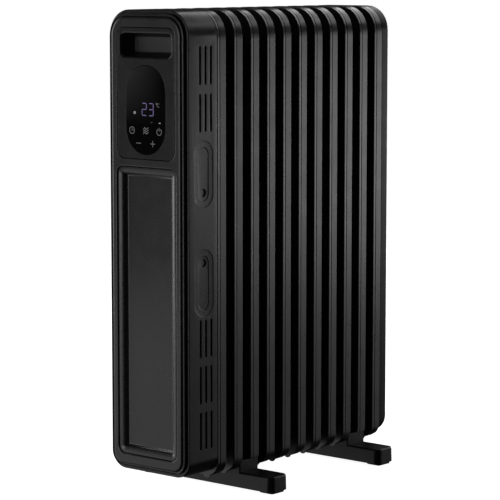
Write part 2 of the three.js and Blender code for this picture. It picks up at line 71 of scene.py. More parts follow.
FINS = ["fin_%02d" % number for number in range(1, 12)]
FIN_FLANGE = 16.9
FIN_PITCH = 33.7
FIN_FRONT = 56.3
FIN_BOTTOM = 27
FIN_RADIUS = 20
FIN_SEATS = ("fin_03", "fin_10")
FIN_SEAT_TOP = 41
FIN_WEB = 1.5
FIN_STRAIGHT = (114, 526)
FIN_LOWER_ROWS = (52, 58, 64, 69, 74, 79, 84, 90, 96, 102, 108, 114)
FIN_UPPER_ROWS = (532, 538, 544, 550, 556, 561, 566, 571, 576, 582, 588, 594, 600, 606)
FIN_HALF_COLUMNS = (
    0, 9, 18, 24, 29, 33, 36.5, 38.3, 40, 41.6, 44, 47, 50, 52.4, 54, 55.7, 57.5, 61, 66,
)
HEADER_HEIGHTS = (74, 566)
HEADER_RADIUS = 24
HEADER_BORE = 17
CHANNEL_X = 47
CHANNEL_ENDS = (54, 601)
FIN_REACH = 4
# The edge of a fin from its front sheet outwards and back: reach over the web, and depth.
FIN_EDGE = (
    (2.6, 0), (3.1, 0.1), (3.45, 0.4), (3.6, 0.9), (3.65, 1.5), (3.65, 4.6), (3.35, 4.9),
    (3.35, 5.2), (3.85, 5.6), (3.9, 6.2), (3.9, 15.7), (4.0, 16.3), (3.9, 16.8), (3.5, 16.9),
    (2.9, 16.8), (2.6, 16.2), (2.5, 4.2), (2.1, 2.6), (1.1, 1.7), (0, FIN_WEB),
)
EAR = {"x": 50, "z": 31, "radius": 7, "hole": 3}

BEZEL = {"half": 50.6, "low": 452.2, "high": 623.6, "radius": 12}
GRIP = {"half": 46.5, "low": 583.5, "high": 617.8, "radius": 9}
WINDOW = {"half": 35.5, "low": 457.6, "high": 575, "radius": 35.5}
LOWER = {"half": 51.4, "low": 55.5, "high": 440.5, "radius": 10}
SLOT_COLUMNS = (22.4, 33, 43.6)
SLOT_ROWS = ((69.1, 119.6), (130.7, 180.9), (191.9, 242.6), (488.8, 538.6), (550.2, 600.6))
SLOT_HALF = 1.7
PILLS = ((246.6, 335.3, 317.1), (390.3, 477.4, 409.6))
PILL_DEPTH = 29.4
PILL_HALF = 18.2
PILL_INNER = 9.8
PILL_STEP = 8.4
CUP_RADIUS = 5.2
COVER_ROUND = 4
FASCIA_FRONT = -6
BEZEL_FRONT = -5.8
BEZEL_BACK = -3
BOLT_RADIUS = 2.5
HUB_RADIUS = 5
SCREW_RADIUS = 3.6
FLOOR_RADIUS = 120

# The camera: azimuth and elevation in degrees, distance and the point that it looks at in metres.
CAMERA_TURN = 40.396
CAMERA_LIFT = 7.048
CAMERA_DISTANCE = 3.239
CAMERA_AIM = (-0.00165, JOINT * MM + 0.2063, 0.31234)


# Outlines and lofts.

def rounded(half, low, high, radius, top_radius=None, steps=8, centre=0.0):
    """Corner data of an upright rounded rectangle, anticlockwise from its lower left."""
    top_radius = radius if top_radius is None else top_radius
    corners = (
        (-1, -1, radius, 180), (1, -1, radius, 270), (1, 1, top_radius, 0), (-1, 1, top_radius, 90),
    )
    points = []
    for side, up, turn, start in corners:
        middle = (centre + side * (half - turn), low + turn if up < 0 else high - turn)
        for step in range(steps + 1):
            angle = math.radians(start + 90 * step / steps)
            point = (*middle, turn, math.cos(angle), math.sin(angle), side, up)
            if not points or math.dist(spot(points[-1], 0), spot(point, 0)) > 0.01:
                points.append(point)
    if math.dist(spot(points[0], 0), spot(points[-1], 0)) < 0.01:
        points.pop()
    return points


def plate(size, steps=8):
    """Corner data of a panel or an opening with its named sizes."""
    return rounded(size["half"], size["low"], size["high"], size["radius"], steps=steps)


def disc(radius, u, v, steps=24):
    """Corner data of a circle."""
    turns = [math.tau * step / steps for step in range(steps)]
    return [(u, v, radius, math.cos(turn), math.sin(turn), 0, 0) for turn in turns]


def star(radius, notch, lobes, u, v, steps=8):
    """Corner data of a screw's drive recess."""
    count = lobes * steps
    points = []
    for step in range(count):
        turn = math.tau * step / count
        reach = radius - notch * (0.5 - 0.5 * math.cos(lobes * turn)) ** 0.6
        points.append((u, v, reach, math.cos(turn), math.sin(turn), 0, 0))
    return points


def spot(point, inset):
    """Where one point of an outline lies when the outline is drawn inwards."""
    u, v, radius, along_u, along_v, side, up = point
    left = max(radius - inset, 0)
    over = max(inset - radius, 0)
    return u + left * along_u - over * side, v + left * along_v - over * up


def front_place(u, v, level):
    """A point of an upright panel that faces the front."""
    return Vector((u * MM, (JOINT + level) * MM, v * MM))


def side_place(side):
    """Points of the flat side of the housing: depth, height, and how far in they lie."""
    return lambda u, v, level: Vector((side * (BODY_HALF - level) * MM, (JOINT + u) * MM, v * MM))


def fin_place(u, v, level):
    """A point of a fin at the joint plane, in millimetres."""
    return Vector((u, level, v))


def floor_place(u, v, level):
    """A point of a plan seen from above, at a height."""
    return Vector((u * MM, (JOINT + v) * MM, level * MM))


def grow(bm, edges):
    """Extrudes open edges, and gives the new vertices and the new edges between them."""
    made = bmesh.ops.extrude_edge_only(bm, edges=edges)["geom"]
    verts = [item for item in made if isinstance(item, bmesh.types.BMVert)]
    fresh = set(verts)
    rim = [
        item for item in made
        if isinstance(item, bmesh.types.BMEdge) and fresh.issuperset(item.verts)
    ]
    return verts, rim


class Rim:
    """A closed loop of edges on an outline that is carried from section to section."""

    def __init__(self, bm, shape, place, inset, level):
        self.bm, self.shape, self.place = bm, shape, place
        self.order = bm.verts.layers.int["order"]
        count = len(shape)
        made = bmesh.ops.create_circle(bm, cap_ends=False, radius=1, segments=count)
        self.verts = made["verts"]
        for vert in self.verts:
            turn = math.atan2(-vert.co.x, vert.co.y) / math.tau
            vert[self.order] = round(turn * count) % count
        self.edges = list(dict.fromkeys(edge for vert in self.verts for edge in vert.link_edges))
        self.put(inset, level)

    def put(self, inset, level):
        """Moves the loop to an inset and a level."""
        for vert in self.verts:
            vert.co = self.place(*spot(self.shape[vert[self.order]], inset), level)

    def walk(self, *profile):
        """Extrudes the loop to each inset and level in turn."""
        for inset, level in profile:
            self.verts, self.edges = grow(self.bm, self.edges)
            self.put(inset, level)
        return self

    def fill(self):
        """Closes the loop with one face."""
        bmesh.ops.contextual_create(self.bm, geom=self.edges)
        return self


def pierce(bm, *loops):
    """Fills the flat face between an outer loop and the openings in it."""
    edges = [edge for loop in loops for edge in (loop.edges if isinstance(loop, Rim) else loop)]
    bmesh.ops.triangle_fill(bm, use_beauty=True, use_dissolve=False, edges=edges)


def new_mesh():
    """An empty mesh whose vertices can hold their order in an outline."""
    bm = bmesh.new()
    bm.verts.layers.int.new("order")
    return bm


def make_piece(bm, name, material, replaced=(), crease=40, weighted=True):
    """Closes, smooths and names a finished piece and lets it ride on its body."""
    bmesh.ops.remove_doubles(bm, verts=bm.verts, dist=CLOSE)
    bmesh.ops.recalc_face_normals(bm, faces=bm.faces)
    bm.verts.layers.int.remove(bm.verts.layers.int["order"])
    mesh = bpy.data.meshes.new(name)
    bm.to_mesh(mesh)
    bm.free()
    mesh.shade_smooth()
    mesh.set_sharp_from_angle(angle=math.radians(crease))
    mesh.materials.append(material)
    piece = bpy.data.objects.new(name, mesh)
    bpy.context.scene.collection.objects.link(piece)
    if weighted:
        modifier = piece.modifiers.new("flat faces stay flat", "WEIGHTED_NORMAL")
        modifier.keep_sharp = True
    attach(piece, BODY)
    if replaced:
        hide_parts(*replaced)


# Finishes.

def node_tree(name):
    """A material of that name with an empty principled shader, and a helper that adds nodes."""
    material = bpy.data.materials.get(name)
    if material:
        return material, None, None
    material = bpy.data.materials.new(name)
    material.use_nodes = True
    tree = material.node_tree
    shader = tree.nodes["Principled BSDF"]

    def add(kind, **values):
        """Adds a node; in_ values go to its inputs, the others are its own settings."""
        node = tree.nodes.new("ShaderNode" + kind)
        for key, value in values.items():
            if key.startswith("in_"):
                label = key[3:].replace("_", " ")
                socket = node.inputs[int(label) if label.isdigit() else label]
                if isinstance(value, bpy.types.NodeSocket):
                    tree.links.new(value, socket)
                else:
                    socket.default_value = value
            else:
                setattr(node, key, value)
        return node

    add.tree = tree
    return material, add, shader


def spread(add, source, low, high, out_low, out_high):
    """Stretches a value between two limits."""
    node = add("MapRange", in_Value=source, in_From_Min=low, in_From_Max=high,
               in_To_Min=out_low, in_To_Max=out_high)
    return node.outputs["Result"]


def tone(add, factor, dark, light):
    """A colour between two colours."""
    node = add("Mix", data_type="RGBA")
    node.inputs["A"].default_value = (*dark, 1)
    node.inputs["B"].default_value = (*light, 1)
    add.tree.links.new(factor, node.inputs["Factor"])
    return node.outputs["Result"]


def noise(add, scale, detail=3.0, roughness=0.55, stretch=None):
    """Noise on the piece's own coordinates."""
    where = add("TexCoord").outputs["Object"]
    if stretch:
        where = add("Mapping", in_Vector=where, in_Scale=stretch).outputs["Vector"]
    node = add("TexNoise", in_Vector=where, in_Scale=scale, in_Detail=detail,
               in_Roughness=roughness)
    return node.outputs["Fac"]


def black_finish(name, colour, roughness, specular, grain, bump):
    """A black moulded or powder coated surface: fine grain, soft blotches, faint dust."""
    material, add, shader = node_tree(name)
    if add is None:
        return material
    tree = add.tree
    blotch = noise(add, 9, 4)
    fine = noise(add, grain, 2, 0.6)
    lighter = tuple(min(1, part * 1.25 + 0.0015) for part in colour)
    base = tone(add, spread(add, blotch, 0.35, 0.7, 0, 1), colour, lighter)
    tree.links.new(base, shader.inputs["Base Color"])
    cloud = spread(add, noise(add, 38, 5), 0.3, 0.75, -0.035, 0.045)
    speck = spread(add, fine, 0.25, 0.75, roughness - 0.03, roughness + 0.03)
    total = add("Math", operation="ADD", in_0=cloud, in_1=speck)
    tree.links.new(total.outputs[0], shader.inputs["Roughness"])
    shader.inputs["Specular IOR Level"].default_value = specular
    relief = add("Bump", in_Height=fine, in_Strength=bump, in_Distance=0.00025)
    tree.links.new(relief.outputs["Normal"], shader.inputs["Normal"])
    return material


def metal_finish(name, dark, light, roughness):
    """Bare or plated metal with a drawn grain."""
    material, add, shader = node_tree(name)
    if add is None:
        return material
    tree = add.tree
    lines = noise(add, 260, 3, 0.6, (1, 1, 8))
    colour = tone(add, spread(add, noise(add, 45, 4), 0.3, 0.7, 0, 1), dark, light)
    tree.links.new(colour, shader.inputs["Base Color"])
    rough = spread(add, lines, 0.3, 0.7, roughness - 0.07, roughness + 0.09)
    tree.links.new(rough, shader.inputs["Roughness"])
    shader.inputs["Metallic"].default_value = 1
    relief = add("Bump", in_Height=lines, in_Strength=0.12, in_Distance=0.0002)
    tree.links.new(relief.outputs["Normal"], shader.inputs["Normal"])
    return material


def plain_finish(name, dark, light, roughness, grain=500, bump=0.1):
    """A satin plastic, rubber or board surface."""
    material, add, shader = node_tree(name)
    if add is None:
        return material
    tree = add.tree
    fine = noise(add, grain, 3)
    colour = tone(add, spread(add, noise(add, 60, 4), 0.3, 0.7, 0, 1), dark, light)
    tree.links.new(colour, shader.inputs["Base Color"])
    rough = spread(add, fine, 0.3, 0.7, roughness - 0.05, roughness + 0.06)
    tree.links.new(rough, shader.inputs["Roughness"])
    relief = add("Bump", in_Height=fine, in_Strength=bump, in_Distance=0.0003)
    tree.links.new(relief.outputs["Normal"], shader.inputs["Normal"])
    return material


def glass_finish():
    """The gloss black display window, with a painted reflection: its base colour turns grey towards
    its upper left.
    """
    material, add, shader = node_tree("display gloss black")
    if add is None:
        return material
    tree = add.tree
    # Painted reflection: the base colour is mixed from near black to grey towards the window's
    # upper left.
    where = add("TexCoord").outputs["Object"]
    apart = add("SeparateXYZ", in_Vector=where)
    middle = (WINDOW["low"] + WINDOW["high"]) / 2 * MM
    across = spread(add, apart.outputs["X"], 0.03, -0.036, 0, 1)
    upward = spread(add, apart.outputs["Z"], middle - 0.02, middle + 0.056, 0, 1)
    painted_reflection = add("Math", operation="MULTIPLY", in_0=across, in_1=upward)
    colour = tone(add, painted_reflection.outputs[0], (0.0006, 0.0006, 0.0007), (0.055, 0.055, 0.057))
    tree.links.new(colour, shader.inputs["Base Color"])
    shader.inputs["Specular IOR Level"].default_value = 0.04
    tree.links.new(spread(add, noise(add, 30, 3), 0.3, 0.7, 0.05, 0.1), shader.inputs["Roughness"])
    return material


def glow_finish(name, colour, strength):
    """A lit symbol, a little uneven from the light guide behind it."""
    material, add, shader = node_tree(name)
    if add is None:
        return material
    tree = add.tree
    dim = tuple(part * 0.8 for part in colour)
    lit = tone(add, spread(add, noise(add, 220, 2), 0.3, 0.7, 0, 1), dim, colour)
    tree.links.new(lit, shader.inputs["Emission Color"])
    shader.inputs["Emission Strength"].default_value = strength
    shader.inputs["Base Color"].default_value = (0.01, 0.01, 0.01, 1)
    shader.inputs["Roughness"].default_value = 0.3
    return material


# Sizes, colours and light that a user would change.

class HeaterFinishes(bpy.types.PropertyGroup):
    """Colours and surfaces"""
    casing_colour: FloatVectorProperty(
        name="Casing", description="Colour of the housing, fascia and end cover", subtype="COLOR",
        size=3, min=0, max=1, default=(0.0075, 0.0075, 0.0078))
    fin_colour: FloatVectorProperty(
        name="Fins", description="Colour of the powder coated fins", subtype="COLOR",
        size=3, min=0, max=1, default=(0.008, 0.008, 0.0082))
    casing_roughness: FloatProperty(
        name="Casing roughness", description="How matt the moulded casing is", subtype="FACTOR",
        min=0, max=1, default=0.29)
    fin_roughness: FloatProperty(
        name="Fin roughness", description="How matt the powder coat is", subtype="FACTOR",
        min=0, max=1, default=0.3)
    symbol_glow: FloatProperty(
        name="Symbol glow", description="Strength of the lit symbols", min=0, max=10, default=0.32)


class HeaterSizes(bpy.types.PropertyGroup):
    """Sizes of the fins"""
    channel_rise: FloatProperty(
        name="Channel rise", description="How far an oil channel stands out of its sheet",
        unit="LENGTH", min=0.001, max=0.006, default=0.0042)
    flange_reach: FloatProperty(
        name="Flange reach", description="How far a fin's turned flange stands out from its web",
        unit="LENGTH", min=0.002, max=0.004, default=0.004)
    fin_rows: IntProperty(
        name="Fin rows", description="Rows of faces along the straight part of a fin",
        min=4, max=40, default=8)


class HeaterStage(bpy.types.PropertyGroup):
    """Floor, sky and lens"""
    floor_colour: FloatVectorProperty(
        name="Floor", description="Colour of the plain floor", subtype="COLOR",
        size=3, min=0, max=1, default=(0.93, 0.93, 0.93))
    floor_lift: FloatProperty(
        name="Floor lift", description="Light that the floor gives, which thins the shadow",
        min=0, max=2, default=0.95)
    sky_strength: FloatProperty(
        name="Sky", description="Strength of the soft light from above", min=0, max=20, default=1.0)
    lens: FloatProperty(
        name="Lens", description="Focal length of the camera in millimetres", min=20, max=400,
        default=168.5)


def finishes():
    """The colours and surfaces that are set in the scene."""
    return bpy.context.scene.heater_finishes


def casing():
    """The finish of the housing and the fascia."""
    return black_finish("casing satin black", tuple(finishes().casing_colour),
                        finishes().casing_roughness, 0.36, 700, 0.04)


def fin_paint():
    """The finish of the fins."""
    return black_finish("fin powder coat black", tuple(finishes().fin_colour),
                        finishes().fin_roughness, 0.55, 900, 0.05)


# Pieces.

def case_outline():
    """Corner data of the outline that the fascia, the housing and the end cover share."""
    return rounded(BODY_HALF, CASE_BOTTOM, BODY_TOP, CASE_RADIUS, TOP_RADIUS, 10)


def fascia_mesh():
    """The frame of the front: stepped rims outside, openings for the bezel and the lower panel."""
    bm = new_mesh()
    outer = Rim(bm, case_outline(), front_place, 13, FASCIA_FRONT)
    back = Rim(bm, case_outline(), front_place, 13, FASCIA_FRONT)
    back.walk((11.6, -5.95), (10.4, -5.75), (9.6, -5.35), (9.1, -4.8), (8.85, -4.1), (8.75, -3.5),
              (8.4, -3.1), (7.7, -2.95), (6.9, -2.95), (6.4, -3.15), (6.15, -3.6), (5.95, -4.2),
              (5.6, -4.55), (5.1, -4.6), (4.75, -4.4), (4.55, -4.0), (4.5, -3.4), (4.5, 1.2),
              (3.4, 1.2), (3.4, 4))
    openings = []
    ends = []
    soft = ((-1.9, FASCIA_FRONT), (-1.3, -5.9), (-0.8, -5.6), (-0.45, -5.1), (-0.3, -4.4),
            (-0.3, 4))
    softer = ((-3.1, FASCIA_FRONT), (-2.3, -5.92), (-1.6, -5.65), (-1.0, -5.15), (-0.55, -4.4),
              (-0.35, -3.5), (-0.3, 4))
    for size, lip in ((BEZEL, soft), (LOWER, softer)):
        shape = plate(size)
        front = Rim(bm, shape, front_place, *lip[0])
        rear = Rim(bm, shape, front_place, *lip[0]).walk(*lip[1:])
        openings.append(front)
        ends.append(rear)
    pierce(bm, outer, *openings)
    pierce(bm, back, *ends)
    return bm


def housing_mesh():
    """The housing round the controls: slots, long stepped pills and screw cups in each side."""
    bm = new_mesh()
    rim = Rim(bm, case_outline(), front_place, WALL, 0)
    rim.walk((1.3, 0), (0.7, 0.12), (0.25, 0.45), (0, 1.1), (0, HOUSING_BACK - 0.9),
             (0.25, HOUSING_BACK - 0.25), (0.9, HOUSING_BACK), (WALL, HOUSING_BACK), (WALL, 0))
    bmesh.ops.remove_doubles(bm, verts=bm.verts, dist=CLOSE)
    limit = 0.02 * (HOUSING_BACK - 3) * MM
    for side in (-1, 1):
        skins = {}
        for face in bm.faces:
            level = BODY_HALF - side * face.calc_center_median().x / MM
            upright = abs(face.normal.x) > 0.99 and face.calc_area() > limit
            if upright and min(abs(level), abs(level - WALL)) < 0.05:
                skins[round(level)] = face
        borders = {level: list(face.edges) for level, face in skins.items()}
        bmesh.ops.delete(bm, geom=list(skins.values()), context="FACES_ONLY")
        place = side_place(side)
        outside, inside = [borders[0]], [borders[WALL]]
        for depth in SLOT_COLUMNS:
            for low, high in SLOT_ROWS:
                shape = rounded(SLOT_HALF, low, high, SLOT_HALF, steps=5, centre=depth)
                outside.append(Rim(bm, shape, place, -0.35, 0))
                inner = Rim(bm, shape, place, -0.35, 0)
                inside.append(inner.walk((-0.1, 0.12), (0, 0.4), (0, WALL)))
        for low, high, screw in PILLS:
            wide = rounded(PILL_HALF, low, high, PILL_HALF, steps=12, centre=PILL_DEPTH)
            narrow = rounded(PILL_INNER, low + PILL_STEP, high - PILL_STEP, PILL_INNER,
                             steps=12, centre=PILL_DEPTH)
            cup = disc(CUP_RADIUS, PILL_DEPTH, screw)
            outside.append(Rim(bm, wide, place, -0.5, 0))
            step = Rim(bm, wide, place, -0.5, 0).walk((-0.15, 0.1), (0.1, 0.4), (0.5, 0.6))
            pierce(bm, step, Rim(bm, narrow, place, -0.5, 0.6))
            step = Rim(bm, narrow, place, -0.5, 0.6).walk((-0.15, 0.7), (0.1, 1.0), (0.5, 1.2))
            pierce(bm, step, Rim(bm, cup, place, -0.5, 1.2))
            Rim(bm, cup, place, -0.5, 1.2).walk((-0.15, 1.3), (0, 1.6), (0.3, 5.4)).fill()
        pierce(bm, *outside)
        pierce(bm, *inside)
    return bm


def bezel_mesh():
    """The control bezel with the grip opening and the display window."""
    bm = new_mesh()
    shape = plate(BEZEL)
    front = Rim(bm, shape, front_place, 0.8, BEZEL_FRONT)
    back = Rim(bm, shape, front_place, 0.8, BEZEL_FRONT)
    back.walk((0.3, -5.65), (0.05, -5.3), (0, -4.8), (0, BEZEL_BACK))
    loops, ends = [front], [back]
    grip = plate(GRIP)
    loops.append(Rim(bm, grip, front_place, -0.7, BEZEL_FRONT))
    ends.append(Rim(bm, grip, front_place, -0.7, BEZEL_FRONT).walk(
        (-0.3, -5.72), (0.4, -5.4), (1.1, -4.85), (1.7, -4.2), (2.15, -3.5), (2.3, BEZEL_BACK)))
    window = plate(WINDOW, 24)
    loops.append(Rim(bm, window, front_place, -0.35, BEZEL_FRONT))
    ends.append(Rim(bm, window, front_place, -0.35, BEZEL_FRONT).walk(
        (-0.1, -5.7), (0, -5.4), (0, BEZEL_BACK)))
    pierce(bm, *loops)
    pierce(bm, *ends)
    return bm


def grip_mesh():
    """The drafted hand pocket behind the grip opening."""
    bm = new_mesh()
    shape = plate(GRIP)
    inner = [(0, -2.7), (1.2, 2), (2.6, 7), (4.0, 12), (4.9, 15.2), (5.6, 17.0), (6.6, 18.1),
             (8.2, 18.6)]
    rim = Rim(bm, shape, front_place, *inner[-1]).fill()
    rim.walk(*reversed(inner[:-1]))
    rim.walk((-3, -2.7), (-3, -0.7), (-1.6, -0.7), (-0.2, 4), (3.2, 16.4), (4.6, 19.6),
             (7.6, 20.6)).fill()
    return bm


def glass_mesh():
    """The display window glass with a fine rounded edge."""
    bm = new_mesh()
    shape = plate(WINDOW, 24)
    rim = Rim(bm, shape, front_place, 0.3, -3.2).fill()
    rim.walk((0.3, -5.35), (0.42, -5.65), (0.8, -5.78), (1.4, BEZEL_FRONT)).fill()
    return bm


def lower_panel_mesh():
    """The long lower panel: a rounded lip, then a shallow pan with flowing sides."""
    bm = new_mesh()
    shape = plate(LOWER)
    rim = Rim(bm, shape, front_place, 0, 4).fill()
    rim.walk((0, -3.9), (0.1, -4.3), (0.4, -4.55), (1.0, -4.6), (2.8, -4.3), (4.4, -3.87),
             (6.0, -3.3), (7.4, -2.6), (8.4, -1.85), (9.4, -0.75), (10.3, 0.4), (11.1, 1.2),
             (11.9, 1.7), (12.8, 1.95), (13.8, 2.0)).fill()
    return bm


def cover_mesh():
    """The end cover: a shallow cap with a rounded back edge and a shallow pan."""
    bm = new_mesh()
    front, back = (corner.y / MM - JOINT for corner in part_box("rear_cover"))
    rim = Rim(bm, case_outline(), front_place, 2.6, back - 2.6).fill()
    rim.walk((2.6, front), (0.8, front), (0.25, front + 0.2), (0, front + 0.8),
             (0, back - COVER_ROUND))
    for turn in range(1, 7):
        angle = math.radians(15 * turn)
        rim.walk((COVER_ROUND - COVER_ROUND * math.cos(angle),
                  back - COVER_ROUND + COVER_ROUND * math.sin(angle)))
    rim.walk((12, back), (12.8, back - 0.12), (13.6, back - 0.45), (14.4, back - 0.85),
             (15.4, back - 1)).fill()
    return bm


def fin_heights():
    """Heights of the rows of a fin, close together round its corners and its headers."""
    low, high = FIN_BOTTOM + FIN_REACH, BODY_TOP - FIN_REACH
    bends = [1 - math.cos(math.radians(15 * step)) for step in range(7)]
    start, end = FIN_STRAIGHT
    rows = bpy.context.scene.heater_sizes.fin_rows
    heights = [low + (FIN_RADIUS - FIN_REACH) * bend for bend in bends]
    heights += FIN_LOWER_ROWS
    heights += [start + (end - start) * step / rows for step in range(1, rows + 1)]
    heights += FIN_UPPER_ROWS
    heights += [high - (TOP_RADIUS - FIN_REACH) * bend for bend in reversed(bends)]
    return heights


def fin_columns():
    """Sideways places of the columns of a fin, close together beside each oil channel."""
    return [-value for value in reversed(FIN_HALF_COLUMNS[1:])] + list(FIN_HALF_COLUMNS)


def fin_half_width(height):
    """Half the width of a fin's web at a height, inside its edge, and which way is outwards."""
    half = BODY_HALF - FIN_REACH
    corners = (
        (FIN_RADIUS - FIN_REACH, FIN_BOTTOM + FIN_RADIUS, -1),
        (TOP_RADIUS - FIN_REACH, BODY_TOP - TOP_RADIUS, 1),
    )
    for radius, centre, up in corners:
        rise = up * (height - centre)
        if rise > 0:
            reach = math.sqrt(max(radius * radius - rise * rise, 0))
            return half - radius + reach, Vector((reach / radius, 0, up * rise / radius))
    return half, Vector((1, 0, 0))


def channel_relief(x, z):
    """How far the sheet stands out: two upright channels, joined through two bosses."""
    def ease(gap, crest, foot):
        return 1 - min(max((gap - crest) / (foot - crest), 0), 1)

    low, high = CHANNEL_ENDS
    nearest = min(max(z, low), high)
    best = ease(math.hypot(abs(x) - CHANNEL_X, z - nearest), 5.5, 10)
    for height in HEADER_HEIGHTS:
        best = max(best, ease(math.hypot(x, z - height), 30, 38))
        along = min(abs(x), CHANNEL_X)
        best = max(best, ease(math.hypot(abs(x) - along, z - height), 9, 15))
    smooth = best * best * (3 - 2 * best)
    return smooth * bpy.context.scene.heater_sizes.channel_rise / MM


def fin_sheet(bm, level, direction):
    """One pressed sheet of a fin, with its relief towards the front (-1) or the back (1)."""
    heights, columns = fin_heights(), fin_columns()
    made = bmesh.ops.create_grid(
        bm, x_segments=len(columns) - 1, y_segments=len(heights) - 1, size=1)
    out, rear = bm.verts.layers.float_vector["out"], columns[-1]
    for vert in made["verts"]:
        column = round((vert.co.x + 1) / 2 * (len(columns) - 1))
        row = round((vert.co.y + 1) / 2 * (len(heights) - 1))
        width, turn = fin_half_width(heights[row])
        x = columns[column] / rear * width
        if row in (0, len(heights) - 1):
            turn = Vector((0, 0, -1 if row == 0 else 1))
        else:
            turn = Vector((turn.x * (1 if x > 0 else -1), 0, turn.z))
        vert[out] = turn
        vert.co = Vector((x, level + direction * channel_relief(x, heights[row]), heights[row]))
    return made["verts"]


def fin_mesh():
    """One fin at the joint plane: two pressed sheets, the turned flange, header necks and ears."""
    bm = new_mesh()
    layers = bm.verts.layers.float_vector
    layers.new("out")
    base = layers.new("base")
    out = layers["out"]
    stretch = bpy.context.scene.heater_sizes.flange_reach / MM / FIN_REACH
    verts = fin_sheet(bm, 0, -1)
    edges = [edge for edge in bm.edges if edge.is_boundary]
    for vert in verts:
        vert[base] = vert.co
    for reach, level in FIN_EDGE:
        reach *= stretch
        fresh, edges = grow(bm, edges)
        for vert in fresh:
            start, turn = vert[base], vert[out]
            keep = 1.0
            if turn.z < -0.5:
                keep = min(max((abs(start.x) - 54) / 7, 0), 1)
                keep = 0.16 + 0.84 * keep * keep * (3 - 2 * keep)
            depth = level if level <= FIN_WEB else FIN_WEB + (level - FIN_WEB) * keep
            vert.co = Vector((start.x + turn.x * reach, depth, start.z + turn.z * reach))
    fin_sheet(bm, FIN_WEB, 1)
    bmesh.ops.remove_doubles(bm, verts=bm.verts, dist=0.01)
    neck = (FIN_PITCH - FIN_FLANGE) / 2
    wall = HEADER_RADIUS - HEADER_BORE
    for height in HEADER_HEIGHTS:
        rim = Rim(bm, disc(HEADER_RADIUS, 0, height, 40), fin_place, wall, -neck)
        rim.walk((0.6, -neck), (0, -neck + 0.6), (0, -4.6), (-1.2, -3.6), (-1.2, 5), (0, 6),
                 (0, FIN_FLANGE + neck - 0.9), (0.6, FIN_FLANGE + neck - 0.3),
                 (wall, FIN_FLANGE + neck - 0.3), (wall, -neck))
    wall = EAR["radius"] - EAR["hole"]
    for side in (-1, 1):
        rim = Rim(bm, disc(EAR["radius"], side * EAR["x"], EAR["z"], 28), fin_place, wall, 0.05)
        rim.walk((0.3, 0.05), (0, 0.35), (0, 1.15), (0.3, 1.45), (wall, 1.45), (wall, 0.05))
    for layer in ("out", "base"):
        layers.remove(layers[layer])
    return bm


def foot_mesh(name):
    """One cross foot: a beam with rounded ends, the raised block, and hollows underneath."""
    bm = new_mesh()
    low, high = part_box(name)
    front, back = low.y / MM - JOINT, high.y / MM - JOINT
    reach, under, top = high.x / MM, low.z / MM, high.z / MM
    plan = rounded(reach, front, back, 10, steps=8)
    hollows = [Rim(bm, plan, floor_place, 0.9, under)]
    beam = Rim(bm, plan, floor_place, 0.9, under)
    beam.walk((0.25, under + 0.2), (0, under + 0.9), (0.5, 21.6), (0.75, 22.8), (1.4, 23.6),
              (2.4, 24)).fill()
    for side in (-1, 1):
        for start, end in ((12, 60), (66, 90)):
            middle, half = side * (start + end) / 2, (end - start) / 2
            shape = rounded(half, front + 3, back - 3, 3, steps=3, centre=middle)
            hollows.append(Rim(bm, shape, floor_place, 0, under))
            Rim(bm, shape, floor_place, 0, under).walk((0.6, 20), (1.2, 20.6)).fill()
    pierce(bm, *hollows)
    block = rounded(63, front + 0.02, back - 0.02, 1.6, steps=4)
    rim = Rim(bm, block, floor_place, 0, 22.5).fill()
    rim.walk((0, top - 1.1), (0.3, top - 0.3), (1.1, top)).fill()
    return bm


def pad_mesh(name):
    """A rubber foot pad with a chamfered foot."""
    bm = new_mesh()
    low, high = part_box(name)
    middle, half = (low.x + high.x) / 2 / MM, (high.x - low.x) / 2 / MM
    plan = rounded(half, low.y / MM - JOINT, high.y / MM - JOINT, 3, steps=6, centre=middle)
    rim = Rim(bm, plan, floor_place, 0.6, low.z / MM).fill()
    rim.walk((0.15, low.z / MM + 0.2), (0, low.z / MM + 0.6), (0, high.z / MM)).fill()
    return bm


def bolt_mesh(name):
    """The U-bolt over the lower header."""
    bm = new_mesh()
    low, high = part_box(name)
    middle = (low.y + high.y) / 2 / MM - JOINT
    bend = high.x / MM - BOLT_RADIUS
    rise = high.z / MM - BOLT_RADIUS - bend
    rim = Rim(bm, disc(BOLT_RADIUS, bend, middle, 20), floor_place, 0.5, low.z / MM).fill()
    rim.walk((0, low.z / MM + 0.5), (0, rise))
    made = bmesh.ops.spin(bm, geom=rim.edges + rim.verts, cent=floor_place(0, middle, rise),
                          axis=(0, -1, 0), angle=math.pi, steps=28, use_merge=False)["geom_last"]
    edges = [item for item in made if isinstance(item, bmesh.types.BMEdge)]
    for drop in (low.z / MM + 0.5, low.z / MM):
        fresh, edges = grow(bm, edges)
        for vert in fresh:
            vert.co.z = drop * MM
    centre = floor_place(-bend, middle, low.z / MM)
    bmesh.ops.scale(bm, vec=(0.8, 0.8, 1), space=Matrix.Translation(-centre), verts=fresh)
    bmesh.ops.contextual_create(bm, geom=edges)
    return bm


def wing_nut_mesh(name):
    """A wing nut: a tapered hub and two rounded wings."""
    bm = new_mesh()
    low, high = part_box(name)
    middle = (low.x + high.x) / 2 / MM
    depth = (low.y + high.y) / 2 / MM - JOINT
    top, half = high.z / MM, (high.x - low.x) / 2 / MM
    rim = Rim(bm, disc(HUB_RADIUS, middle, depth, 28), floor_place, 2.2, top)
    rim.walk((0.4, top), (0, top - 0.4), (0.6, top - 8.4), (1.0, top - 9), (2.2, top - 9),
             (2.2, top))
    for side in (-1, 1):
        wing = rounded(half / 2 - 1.6, low.z / MM, top - 3, 3.5, steps=6,
                       centre=middle + side * (half / 2 + 1.6))
        rim = Rim(bm, wing, front_place, 0.5, depth - 1.2).fill()
        rim.walk((0, depth - 0.7), (0, depth + 0.7), (0.5, depth + 1.2)).fill()
    return bm


